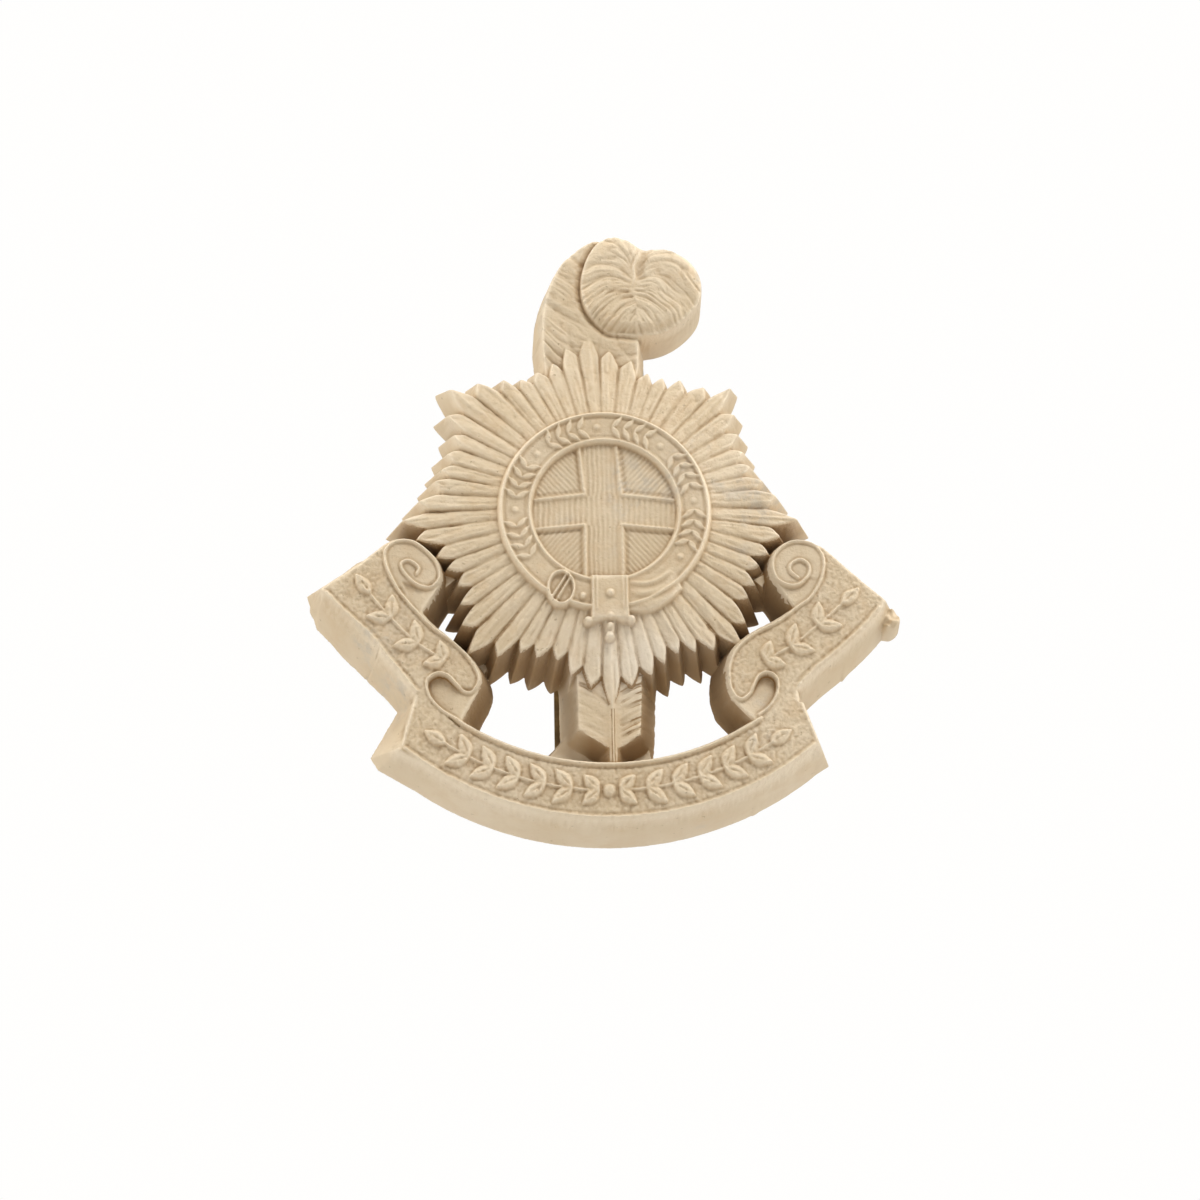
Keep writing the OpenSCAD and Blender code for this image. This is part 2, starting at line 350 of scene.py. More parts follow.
def leaf(layer, base, angle, length, width):
    """A pointed leaf with a sunk midrib, lying at that angle from its base."""
    way = np.array([math.cos(angle), math.sin(angle)])
    tip = np.array(base) + way * length
    where = window([base, tip], width)
    dx, dz = X[where] - base[0], Z[where] - base[1]
    along, across = (dx * way[0] + dz * way[1]) / length, (dz * way[0] - dx * way[1])
    half = width * np.sin(np.pi * np.clip(along, 0, 1)) ** 0.75 * (1.15 - 0.4 * along) + 1e-6
    body = np.clip(1 - (across / half) ** 2, 0, 1) ** 0.45
    body *= 1 - 0.35 * bump(across / 0.11) * ramp(along, 0, 0.3) * (1 - ramp(along, 0.5, 0.85))
    body[(along <= 0) | (along >= 1)] = 0
    layer[where] = np.maximum(layer[where], body * ORNAMENT)


def spray(layer, stem, pairs):
    """A laurel branch: a stem with pairs of leaves that lean forwards, and one leaf at its end."""
    where, gap, _ = distance(stem, STEM_WIDTH)
    layer[where] = np.maximum(layer[where], 0.6 * ORNAMENT * bump(gap / STEM_WIDTH))
    for k in range(pairs + 1):
        at = k / (pairs + 0.5) * (len(stem) - 2)
        i = int(at)
        base = stem[i] + (stem[i + 1] - stem[i]) * (at - i)
        way = stem[i + 1] - stem[i]
        heading = math.atan2(way[1], way[0])
        for turn in (0,) if k == pairs else (LEAF_SPREAD, -LEAF_SPREAD):
            leaf(layer, base, heading + turn, LEAF_LENGTH * (0.86 if k == 0 else 1), LEAF_WIDTH)


def scroll_face():
    """The ribbon's face: stippled ground, laurel, volutes, turned-over folds and rims."""
    face = GROUND + 0.035 * noise(X * 4, Z * 4) + 0.05 * noise(X * 8, Z * 8, 1)
    face += 0.03 * noise(X * 1.1, Z * 1.1, 2) - 0.06 * creases(X * 3, Z * 3, 3, 8)
    laurel = np.zeros(X.shape)
    for start, end in LOWER_SPRAYS:
        spray(laurel, arc(SCROLL_MIDDLE, start, end), LOWER_PAIRS)
    dot(laurel, 0, -SCROLL_MIDDLE, 0.55, ORNAMENT)
    for stem in SIDE_SPRAYS:
        spray(laurel, curve(stem), SIDE_PAIRS)
    face += laurel
    for x, z, radius in VOLUTES:
        share = ramp(np.hypot(X - x, Z - z), radius + 0.1, radius - 0.2)
        face += (VOLUTE_FACE + 0.02 * noise(X * 2, Z * 2, 3) - face) * share
    for shape, deep, shallow, drop in FOLDS:
        way = np.array(shallow) - np.array(deep)
        t = ((X - deep[0]) * way[0] + (Z - deep[1]) * way[1]) / (way @ way)
        set_inside(face, closed(shape, 4), GROUND - drop * (1 - np.clip(t, 0, 1.1)))
    for rim in (RIM_LEFT, RIM_RIGHT):
        stroke(face, curve(rim), *RIM_GROOVE)
        stroke(face, curve(rim), *RIM_RIDGE)
    stroke(face, UPPER_EDGE, *UPPER_RIDGE)
    stroke(face, UPPER_EDGE_GROOVE, *UPPER_GROOVE)
    for edge in LOWER_EDGES:
        stroke(face, edge, *LOWER_RIDGE)
        stroke(face, edge * (1 - 0.3 / np.linalg.norm(edge, axis=1))[:, None], *LOWER_GROOVE)
    for end in BAND_ENDS:
        stroke(face, end, *END_RIDGE)
    return face


def scroll(relief):
    face = scroll_face()
    # The left ribbon's outer wall leans further out, most of all beside its end
    lean = 1 - 0.08 * ramp(R, 18, 19) - 0.3 * ramp(X, -15.5, -19.5) + 0.25 * ramp(R, 22.2, 23.4)
    for shape, slope in ((SIDE_LEFT, WALL * lean), (SIDE_RIGHT, WALL), (LOWER_BAND, WALL)):
        merge(relief, shape, face, slope, blend=0.02)
    for corners, slopes in END_BLOCKS:
        merge_block(relief, corners, slopes, face)


# --- Star ---

# The star's main points: angle, distance, how much shorter the middle rays are up to the next one
STAR_MAIN = [
    (-0.9, 14.8, 0.2), (46.9, 14.65, 0.18), (93.6, 15.15, 0.18),
    (137.7, 15.75, 0.185), (181.3, 15.35, 0.17), (226.6, 15.0, 0.19),
    (271.4, 15.2, 0.17), (314.5, 14.65, 0.16), (359.1, 14.8, 0),
]
RAYS_BETWEEN = 7  # steps from one main point to the next
STRAP_OUTER = 8.1
STAR_CROWN, STAR_TIP, STAR_REACH = 5.0, 3.9, 15.5
STAR_FALL = (STAR_CROWN - STAR_TIP) / (STAR_REACH - STRAP_OUTER)
NOTCH = 0.8  # how deep the notches between the points are
STAR_WALL = 2.8  # how steeply the points' ends rise
RAY_SPREAD = (0, 1.1, 2.07, 3.03, 3.97, 4.93, 5.9)  # the rays' steps on from a main point
RAY_STEP = 0.07  # how far a ray's face may lie above or below the others
RAY_TILT = 0.13  # how far it leans to one side
MAIN_RIDGE, LESSER_RIDGE = 0.28, 0.1  # how far a ray falls away from its crest
GROOVE_WIDTH = 0.19  # from the middle of a groove between two rays to its edge
PLUME_ANGLE, BLUNT_ANGLE = 93.6, 137.5  # the top point, and the upper left one, which is blunter


def star_rays():
    """Angles and lengths of all the rays: main ones broader, each a little out of true."""
    random = np.random.default_rng(5)
    spread = np.array(RAY_SPREAD) / RAYS_BETWEEN
    steps = np.concatenate([k + spread for k in range(len(STAR_MAIN) - 1)])
    main_angles, main_lengths, dips = np.array(STAR_MAIN).T
    angles = np.interp(steps, np.arange(len(STAR_MAIN)), main_angles)
    lengths = np.interp(steps, np.arange(len(STAR_MAIN)), main_lengths) + 0.1
    lengths *= 1 - dips[steps.astype(int)] * np.sin(np.pi * (steps % 1))
    lesser = np.arange(len(steps)) % RAYS_BETWEEN > 0
    angles += lesser * random.uniform(-0.9, 0.9, len(steps))
    lengths *= 1 + lesser * random.uniform(-0.018, 0.018, len(steps))
    return angles, lengths


def star(relief):
    angles, lengths = star_rays()
    count = len(angles)
    random = np.random.default_rng(8)
    turned = (ANGLE - angles[0]) % 360 + angles[0]
    ray = np.interp(turned, np.append(angles, angles[0] + 360), np.arange(count + 1))
    nearest = np.rint(ray).astype(int) % count
    side = 2 * (ray - np.rint(ray))  # -1 to 1 across a ray, 0 on its crest
    notches = np.minimum(lengths, np.roll(lengths, -1)) - NOTCH
    notch = np.where(side < 0, notches[nearest - 1], notches[nearest])
    edge = lengths[nearest] - (lengths[nearest] - notch) * np.abs(side) ** 1.15

    out = ramp(R, STRAP_OUTER - 1, STAR_REACH)
    is_main = nearest % RAYS_BETWEEN == 0
    half_width = R * math.pi / count * np.where(is_main, 1.3, 1)
    ridge = np.where(is_main, MAIN_RIDGE, LESSER_RIDGE)
    face = STAR_CROWN - (R - STRAP_OUTER) * STAR_FALL
    face += out * random.uniform(-RAY_STEP, RAY_STEP, count)[nearest]
    face += RAY_TILT * (0.4 + out) * random.uniform(-0.4, 1, count)[nearest] * side
    face -= ridge * (0.35 + 0.65 * out) * np.abs(side) ** np.where(is_main, 1.0, 1.6)
    face -= (0.09 + 0.15 * out) * bump((1 - np.abs(side)) * half_width / GROOVE_WIDTH)
    scratches = (0.05 + 0.06 * out) * creases(ray * 3.4, R * 0.35, 4, 6)
    face -= scratches + 0.07 * creases(ray * 6.3, R * 0.6, 32, 6)
    face += 0.03 * noise(ray * 9, R * 0.9, 5) + 0.03 * noise(X * 2.2, Z * 2.2, 6)
    face += 0.22 * bump((ANGLE - PLUME_ANGLE) / 26)  # the top of the star lies over the plume's foot
    face -= 2 * ramp(R, STRAP_OUTER - 0.3, STRAP_OUTER - 1)  # sunk under the strap
    # The notches run all the way down the walls, so the walls lean out along each ray
    wall = STAR_WALL - 0.6 * bump((ANGLE - BLUNT_ANGLE) / 6)
    body = face + smooth_min(0 * R, (edge - R) * wall, 0.32)
    near = R < STAR_REACH + 4
    relief[near] = smooth_max(relief[near], body[near], 0.06)


# --- Strap, disc and cross ---

STRAP_INNER = 5.57
STRAP_MIDDLE = (STRAP_OUTER + STRAP_INNER) / 2
STRAP_FACE = 5.32
DISC_FACE = 4.95
HALF_UPRIGHT, HALF_ARM = 1.3, 1.22  # half widths of the cross's limbs
HATCH_STEP, UPRIGHT_STEP, ARM_STEP = 0.34, 0.36, 0.41  # between the lines on the disc and the cross
LEAF_RUNS = (214, 172, 128, 84, 40, 0)  # where the strap's runs of leaves start, in degrees
RUN_LEAVES = 4
LEAF_STEP = 7.2  # degrees between them


def upright_middle(z):
    """Where the middle of the cross's upright is at that height: it leans left at the top."""
    return -0.1 - 0.1 * np.clip(z - 1.3, 0, None)


def disc_and_cross():
    """The disc's hatched quarters and the ribbed cross over them."""
    face = DISC_FACE + 0.12 * (1 - (R / STRAP_INNER) ** 2) + 0.015 * noise(X * 3, Z * 3, 6)
    half_upright = HALF_UPRIGHT + 0.02 * np.abs(Z)
    arm_middle = 0.05 - 0.07 * np.abs(X)
    on_upright = ramp(half_upright - np.abs(X - upright_middle(Z)), -0.08, 0.08)
    on_arm = ramp(HALF_ARM - np.abs(Z - arm_middle), -0.08, 0.08)
    on_cross = np.maximum(on_upright, on_arm)
    waver = 0.05 * noise(X, Z, 8)
    diagonal = (X * np.sign(Z) * 0.75 - Z * np.sign(X) * 0.66) * np.sign(X)
    hatch = np.cos(2 * np.pi * (diagonal + waver) / HATCH_STEP) * (0.75 + 0.25 * noise(X, Z, 7))
    reeds = np.cos(2 * np.pi * (X + waver) / np.where(on_arm > 0.5, ARM_STEP, UPRIGHT_STEP))
    on_reeds = on_cross * 0.05 * reeds * (0.7 + 0.3 * noise(X, Z, 9))
    face += (1 - on_cross) * (0.055 * hatch - 0.06) + on_reeds
    for x, z in ((-1, 1), (1, 1), (-1, -1), (1, -1)):
        corner = (upright_middle(z * 1.4) + x * 1.42, 0.05 + z * 1.25)
        up_end = (upright_middle(z * 5.0) + x * 1.45, z * 5.25)
        arm_end = (x * 5.25, -0.32 + z * 1.22)
        edge = np.array([up_end, corner, arm_end])
        stroke(face, edge, 0.25, 0.27)
        stroke(face, edge + (x * 0.36, z * 0.36), 0.2, -0.09)
    return face


def strap_ornament():
    """Small leaves in short runs, with pellets between them, around the strap."""
    layer = np.zeros(X.shape)
    for start in LEAF_RUNS:
        for k in range(RUN_LEAVES):
            angle = math.radians(start - LEAF_STEP * k)
            base = (STRAP_MIDDLE * math.cos(angle), STRAP_MIDDLE * math.sin(angle))
            for side in (1, -1):
                leaf(layer, base, angle - math.pi / 2 + side * 0.95, 1.15, 0.24)
        angle = math.radians(start - LEAF_STEP * RUN_LEAVES - 5)
        dot(layer, STRAP_MIDDLE * math.cos(angle), STRAP_MIDDLE * math.sin(angle), 0.3, 0.3)
    return layer


def strap(relief):
    band = STRAP_FACE + 0.02 * noise(X * 2.5, Z * 2.5, 10)
    band += strap_ornament() * 0.62
    band += 0.26 * bump((R - STRAP_OUTER + 0.2) / 0.18) + 0.2 * bump((R - STRAP_INNER - 0.2) / 0.16)
    band -= 0.07 * bump((R - STRAP_OUTER + 0.5) / 0.14) + 0.07 * bump((R - STRAP_INNER - 0.53) / 0.14)
    ring_depth = np.minimum(STRAP_OUTER - R, R - STRAP_INNER)
    band += smooth_min(0 * R, ring_depth * WALL, 0.15)
    near = R < STRAP_OUTER + 1
    disc = np.where(R < STRAP_INNER + 0.3, disc_and_cross(), -FAR)
    shape = np.maximum(disc, band)
    relief[near] = smooth_max(relief[near], shape[near], 0.04)


DRAPERY = outline([(1.6, -8.2), (3.4, -8.1), (4.9, -7.2), (5.7, -6.3)], [(5.3, -5.0), (1.6, -5.5)])
DRAPERY_FOLDS = [  # line and half width
    ([(1.7, -5.9), (3.0, -6.0), (4.1, -5.6), (5.0, -4.8)], 0.3),
    ([(1.7, -6.7), (3.2, -6.75), (4.4, -6.3), (5.2, -5.6)], 0.45),
    ([(1.7, -7.7), (3.4, -7.6), (4.6, -7.1), (5.4, -6.5)], 0.55),
]
KEEPER = [(-1.1, -5.4), (1.65, -5.4), (1.65, -8.8), (-1.1, -8.8)]
KEEPER_LINES = (-1.0, -0.72, 1.3, 1.55)
STRAP_END = [(-0.3, -8.4), (0.8, -8.4), (0.4, -10.1), (0.1, -10.1)]
BAR = outline(
    [(1.8, -8.6), (1.0, -8.55), (0.3, -8.25), (-0.4, -8.5), (-1.3, -8.8)],
    [(-1.3, -9.1), (-0.4, -8.85), (0.3, -8.6), (1.0, -8.9), (1.8, -9.0)],
)
KNOBS = [  # x, z, radius and top
    (-1.75, -7.0, 0.3, 5.72), (0.3, -6.85, 0.33, 6.0), (-1.4, -8.95, 0.33, 5.7),
    (1.85, -8.85, 0.33, 5.7), (0.28, -8.6, 0.3, 5.8), (0.26, -9.35, 0.26, 5.6),
    (0.23, -10.15, 0.35, 5.6),
]
BUCKLE_X, BUCKLE_Z = -3.4, -6.35
BUCKLE_WIDTH, BUCKLE_HEIGHT = 1.05, 1.4  # half sizes of its oval ring
PINS = [[(-4.05, -7.0), (-3.0, -5.3)], [(-3.75, -7.3), (-2.75, -5.6)]]


def buckle(relief):
    """The buckle, the keeper with its studs, the drapery beside it and the strap's ornate end."""
    merge(relief, DRAPERY, 5.33, blend=0.15)
    for fold, half_width in DRAPERY_FOLDS:
        stroke(relief, curve(fold), half_width, 0.2, True)
    merge(relief, KEEPER, 5.58, blend=0.06, rounding=0.15)
    merge(relief, STRAP_END, 5.15, blend=0.05, rounding=0.2)
    merge(relief, BAR, 5.42, blend=0.05, rounding=0.25)
    for x in KEEPER_LINES:
        stroke(relief, [(x, -5.4), (x, -8.1)], 0.11, 0.12)
    for place in KNOBS:
        knob(relief, *place)
    where = window([(BUCKLE_X, BUCKLE_Z)], 1.8)
    t = np.hypot((X[where] - BUCKLE_X) / BUCKLE_WIDTH, (Z[where] - BUCKLE_Z) / BUCKLE_HEIGHT)
    ring = STRAP_FACE + 0.36 - 9 * np.abs(t - 0.93) ** 1.5
    patch = relief[where]
    patch[t < 0.8] = np.minimum(patch[t < 0.8], STRAP_FACE - 0.12)
    relief[where] = smooth_max(patch, np.where(t < 1.25, ring, -FAR), 0.06)
    for pin in PINS:
        stroke(relief, pin, 0.16, 0.4)


# --- Plume ---

STEM = outline(
    [(2.7, 11.4), (-4.35, 11.4)],
    [(-4.4, 12.8), (-4.5, 14.3), (-4.55, 15.6), (-4.2, 18.4), (-3.0, 21.2), (-0.9, 23.05), (1.0, 23.55),
     (2.2, 23.3)],
    [(3.0, 22.4), (2.98, 15.3), (2.97, 14.1), (2.97, 12.6)],
)
CURL = curve([
    (3.3, 22.4), (4.2, 22.45), (5.3, 22.4), (6.3, 22.0), (7.3, 21.2), (7.95, 19.9), (8.0, 18.6),
    (7.5, 17.35), (6.3, 16.1), (4.9, 15.3), (3.3, 15.0), (1.8, 15.1), (0.6, 15.3), (-0.4, 16.15),
    (-1.1, 17.2), (-1.45, 18.4), (-1.45, 19.8), (-1.1, 21.3), (-0.4, 22.6), (0.4, 23.25), (1.2, 23.45),
    (2.2, 23.2), (2.8, 22.8),
])
STEM_FACE, CURL_FACE = 4.25, 4.92
LOBE = 1.1  # height of the lobes down the stem's left edge
SWIRL_X, SWIRL_Z = 3.2, 19.0  # what the strands beside the curl run round
PARTING_Z, PARTING_X = (18.7, 20.4, 22.8), (2.7, 2.75, 3.4)  # the curl's parting, from its lower end up
VALLEY = [(3.75, 22.6), (3.5, 21.5), (3.1, 20.4), (3.2, 19.6)]
PARTING_STRANDS = [  # line, half width and height
    ([(3.4, 22.7), (3.05, 21.6), (2.65, 20.7), (2.75, 19.9), (2.5, 19.0)], 0.15, 0.16),
    ([(2.95, 22.7), (2.6, 21.6), (2.35, 20.6)], 0.12, 0.1),
]


def stem_face():
    """Barbs that slant down to the stem's left edge, and strands that run round the curl."""
    barb = Z + 0.85 * (X + 4.2) - 0.07 * (X + 4.2) ** 2 + 0.2 * noise(X * 0.8, Z * 0.8, 12)
    lobe = barb / LOBE - np.floor(barb / LOBE)
    left = ramp(X, 0.6, -1.6)
    face = STEM_FACE - 0.08 * left * (1 - lobe) ** 2 * ramp(X, -0.6, -3.2)
    face -= left * (0.12 * creases(barb * 0.8, X * 0.35, 13) + 0.1 * creases(barb * 2.6, X * 0.5, 14))
    face -= 0.07 * creases(barb * 5, X, 33)
    top = ramp(Z, 20.0, 21.8) * ramp(X, 1.0, -0.4)
    face -= 0.1 * top * creases(np.hypot(X - 2.6, Z - 17.4) * 2.2, ANGLE * 0.25, 31)
    swirl = np.hypot(X - SWIRL_X, Z - SWIRL_Z)
    turn = np.arctan2(Z - SWIRL_Z, X - SWIRL_X)
    face -= (1 - left) * (0.16 * creases(swirl * 1.1 + turn * 1.2, turn * 2, 15))
    face -= (1 - left) * 0.1 * creases(swirl * 0.8 - turn * 7, swirl * 0.35, 16)
    where, depth = depth_inside(CURL)
    face[where] -= 0.3 * bump(np.clip(-depth, 0, None) / 0.6) * (depth < 0)
    face -= 0.3 * bump(np.clip(R - 13.0, 0, None) / 2.4) * (R < 15.8)
    return face


def curl_face():
    """Strands that leave the curl's parting sideways and droop, or run down from its lower end."""
    parting = np.interp(Z, PARTING_Z, PARTING_X)
    wave_x, wave_z = noise(X * 0.75, Z * 0.75, 30), noise(X * 0.75, Z * 0.75, 36)
    side = X - parting + 0.2 * wave_x
    level = Z - PARTING_Z[0] + 0.25 * wave_z + np.where(side < 0, 0.12, 0.25) * side**2
    strand = 2.6 * np.arctan2(level, np.abs(side) + 1.3) + np.where(side < 0, 0, 40)
    away = np.hypot(side, np.minimum(level, 0))
    locks = 0.05 * noise(strand * 1.3, away * 0.3, 17) - 0.12 * creases(strand * 2.4, away * 0.35, 18)
    locks -= 0.12 * creases(strand * 5, away * 0.42, 19) + 0.1 * creases(strand * 10, away * 0.6, 20)
    face = CURL_FACE + locks * ramp(away, 0.0, 0.5)
    where, depth = depth_inside(CURL)
    face[where] -= (0.3 + 0.45 * ramp(Z[where], 17.5, 15.5)) * (1 - ramp(depth, 0, 1.2)) ** 1.5
    stroke(face, curve(VALLEY), 0.55, -0.3, True)
    for line, half_width, height in PARTING_STRANDS:
        stroke(face, curve(line), half_width, height, True)
    return face


def plume(relief):
    merge(relief, STEM, stem_face(), slope=WALL * 1.4, rounding=0.6)
    merge(relief, CURL, curl_face(), slope=WALL * 5, rounding=0.7, blend=0.05)


# --- Quill ---

VANE = [
    (-2.35, -11.5), (2.7, -11.5), (2.65, -14.5), (2.5, -17.5), (0.8, -18.55), (0.8, -20.4),
    (0.02, -20.4), (0.02, -18.5), (-2.2, -17.05), (-2.25, -14.0),
]
WEB = [
    (-2.6, -12), (3.15, -12), (3.15, -17), (3.5, -19), (-4.6, -19), (-4.3, -18.3), (-3.4, -17.3),
    (-2.7, -16.5),
]
VANE_FACE, WEB_FACE = 3.62, 1.2
VANE_MIDDLE, SHAFT_X = 0.4, 0.41
SHAFT_TOP, SHAFT_BOTTOM = -15.2, -20.2


def quill(relief):
    face = VANE_FACE + 0.03 * noise(X * 1.5, Z * 1.5, 20)
    across = np.abs(X - VANE_MIDDLE)
    barb = Z - 0.75 * across + 0.09 * (X - VANE_MIDDLE) ** 2
    strength = np.where(X > VANE_MIDDLE, 1.0, 0.45) * ramp(across, 0.35, 0.8)
    barbs = 0.2 * creases(barb * 2.2, X * 0.3, 21, 4) + 0.1 * creases(barb * 4.5, X * 0.4, 27)
    face -= strength * barbs
    stroke(face, curve([(-2.0, -13.4), (-1.2, -13.9), (0.1, -15.0)]), 0.22, -0.12)
    stroke(face, [(SHAFT_X, SHAFT_TOP), (SHAFT_X, SHAFT_BOTTOM)], 0.4, 0.26)
    for x in (0.27, 0.55):  # the lines along the shaft
        stroke(face, [(x, -15.4), (x, SHAFT_BOTTOM)], 0.09, -0.1)
    merge(relief, VANE, face, slope=WALL * 0.62, rounding=0.3, blend=0.1)
    merge(relief, WEB, WEB_FACE + 0.2 * noise(X, Z, 22), blend=0.3)


# --- The whole relief ---


SPRUE = [(21.4, -7.2), (22.2, -7.0), (22.6, -7.5), (22.6, -8.1), (22.1, -8.6), (21.4, -8.4)]
CRACKS = [[(-18.6, -12.2), (-17.7, -11.6), (-17.1, -10.9)], [(-11.9, -16.3), (-11.1, -17.0)]]
FLASH = [  # outline and height of what fills the corners between the star and the ribbon
    ([(-10.0, -10.9), (-8.7, -11.1), (-9.3, -12.2)], 1.2),
    ([(-12.6, -4.2), (-11.3, -4.9), (-12.1, -5.6)], 3.2),
    ([(12.6, -4.2), (11.3, -4.9), (12.1, -5.6)], 3.2),
]


def moulding_faults(relief):
    """The stub of the sprue on the right end, cracks, flash, and small chips in the edges."""
    stub = 2.5 + 0.5 * noise(X * 2.5, Z * 2.5, 23)
    merge(relief, closed(SPRUE, 5), stub, slope=WALL * 3, blend=0.15)
    for crack in CRACKS:
        stroke(relief, curve(crack), 0.08, -0.25)
    for shape, height in FLASH:
        merge(relief, shape, height, blend=0.2)
    relief -= 0.12 * np.clip(noise(X * 0.9, Z * 0.9, 24) - 0.72, 0, 1) * (relief > 0)


def make_relief():
    relief = np.full(X.shape, OPEN)
    for add_motif in (scroll, plume, quill, star, strap, buckle, moulding_faults):
        add_motif(relief)
    relief += 0.01 * noise(X * 5, Z * 5, 25)
    return blur(relief, 0.1, passes=1)


# --- From the relief to a closed mesh ---


def triangles_of(relief):
    """Two triangles for every cell of the grid, split along its flatter diagonal."""
    rows, columns = relief.shape
    a = (np.arange(rows - 1)[:, None] * columns + np.arange(columns - 1)[None, :]).ravel()
    b, c, d = a + 1, a + columns, a + columns + 1
    h = relief.ravel()
    flat = np.abs(h[a] - h[d]) < np.abs(h[b] - h[c])
    first = np.where(flat[:, None], np.column_stack([a, b, d]), np.column_stack([a, b, c]))
    second = np.where(flat[:, None], np.column_stack([a, d, c]), np.column_stack([b, d, c]))
    return np.vstack([first, second])


def closed_mesh(relief):
    """Vertices (x, y, z) in mm and triangles of the solid between the relief and its flat back."""
    height = relief.ravel()
    place = np.column_stack([X.ravel(), Z.ravel()])
    triangles = triangles_of(relief)
    inside = height[triangles] > 0
    count = inside.sum(1)
    pieces = [triangles[count == 3]]
    cuts = []

    def crossing(inner, outer):
        """Stand-in numbers, below zero, for the points where edges reach the back plane."""
        start = sum(len(c) for c in cuts)
        cuts.append(np.column_stack([inner, outer]))
        return -1 - (start + np.arange(len(inner)))

    for k in range(3):
        turn = [k, (k + 1) % 3, (k + 2) % 3]
        a, b, c = triangles[(count == 1) & inside[:, k]][:, turn].T
        pieces.append(np.column_stack([a, crossing(a, b), crossing(a, c)]))
        a, b, c = triangles[(count == 2) & ~inside[:, k]][:, turn].T
        b_cut, c_cut = crossing(b, a), crossing(c, a)
        pieces.append(np.column_stack([b_cut, b, c]))
        pieces.append(np.column_stack([b_cut, c, c_cut]))

    cuts = np.vstack(cuts)
    pairs, which = np.unique(cuts, axis=0, return_inverse=True)
    share = height[pairs[:, 0]] / (height[pairs[:, 0]] - height[pairs[:, 1]])
    edge = place[pairs[:, 0]] + (place[pairs[:, 1]] - place[pairs[:, 0]]) * share[:, None]
    faces = np.vstack(pieces)
    cut = faces < 0
    faces[cut] = len(height) + which.ravel()[-1 - faces[cut]]

    used, faces = np.unique(faces, return_inverse=True)
    faces = faces.reshape(-1, 3)
    on_grid = used < len(height)
    flat = np.vstack([place, edge])[used]
    tall = np.where(on_grid, height[np.minimum(used, len(height) - 1)], 0)
    front = np.column_stack([flat[:, 0], -tall, flat[:, 1]])
    back_of = np.arange(len(used))
    back_of[on_grid] = len(used) + np.arange(on_grid.sum())
    behind = flat[on_grid]
    back = np.column_stack([behind[:, 0], -back_dents(behind[:, 0], behind[:, 1]), behind[:, 1]])
    # The grid's rows run upwards and the face looks along -Y, so these windings look outwards
    return np.vstack([front, back]), np.vstack([faces, back_of[faces][:, ::-1]])


EJECTORS = [(-17.5, -8.5), (17.5, -8.5), (0, -21.8), (1.5, 19.5), (-10.5, 3.5), (10.5, 3.5)]
EJECTOR_RADIUS = 1.3
SLOT_Z = 7.0  # how far above and below the middle the blades' slots are
SLOT_HALF_WIDTH, SLOT_HALF_HEIGHT = 3.8, 0.35


def back_dents(x, z):
    """How deep the back is sunk: ejector marks, a sink over the thick centre, the slots' lips."""
    depth = 0.05 * bump(np.hypot(x, z) / 9) + 0.012 * (1 + noise(x * 0.7, z * 0.7, 26))
    for ex, ez in EJECTORS:
        away = np.hypot(x - ex, z - ez)
        lip = 0.05 * bump((away - EJECTOR_RADIUS) / 0.2)
        depth = depth + 0.07 * ramp(away, EJECTOR_RADIUS, 1.15) + lip
    for side in (-1, 1):
        dx = np.clip(np.abs(x) - SLOT_HALF_WIDTH, 0, None)
        dz = np.clip(np.abs(z - side * SLOT_Z) - SLOT_HALF_HEIGHT, 0, None)
        depth = depth + 0.22 * ramp(np.hypot(dx, dz), 0.3, 0.1)
    return depth


def sample(grid, x, z):
    """Values of a grid at any points, straight-line between grid points."""
    u = np.clip((x - xs[0]) / PITCH, 0, len(xs) - 1.001)
    v = np.clip((z - zs[0]) / PITCH, 0, len(zs) - 1.001)
    i, j = u.astype(int), v.astype(int)
    s, t = u - i, v - j
    lower = grid[j, i] * (1 - s) + grid[j, i + 1] * s
    upper = grid[j + 1, i] * (1 - s) + grid[j + 1, i + 1] * s
    return lower * (1 - t) + upper * t


def new_mesh(name, vertices, faces):
    mesh = bpy.data.meshes.new(name)
    mesh.vertices.add(len(vertices))
    mesh.vertices.foreach_set("co", np.asarray(vertices, np.float32).ravel())
    mesh.loops.add(faces.size)
    mesh.loops.foreach_set("vertex_index", faces.astype(np.int32).ravel())
    mesh.polygons.add(len(faces))
    mesh.polygons.foreach_set("loop_start", np.arange(0, faces.size, 3, dtype=np.int32))
    mesh.update(calc_edges=True)
    mesh.validate()
    return mesh


def new_object(name, data):
    thing = bpy.data.objects.new(name, data)
    bpy.context.scene.collection.objects.link(thing)
    return thing


def thinned(mesh, most):
    """The same surface with at most that many triangles, kept where the shape is busiest."""
    piece = new_object("thinning", mesh)
    modifier = piece.modifiers.new("thin", "DECIMATE")
    modifier.ratio = min(1, most / len(mesh.polygons))
    result = bpy.data.meshes.new_from_object(piece.evaluated_get(bpy.context.evaluated_depsgraph_get()))
    bpy.data.objects.remove(piece)
    return result


def add_values(mesh, name, values, domain="POINT"):
    attribute = mesh.attributes.new(name, "FLOAT", domain)
    attribute.data.foreach_set("value", values.astype(np.float32))


def read(items, key, width=3, kind=np.float32):
    """A value of every vertex, corner or triangle, as an array with a row for each."""
    values = np.empty(len(items) * width, kind)
    items.foreach_get(key, values)
    return values.reshape(-1, width)


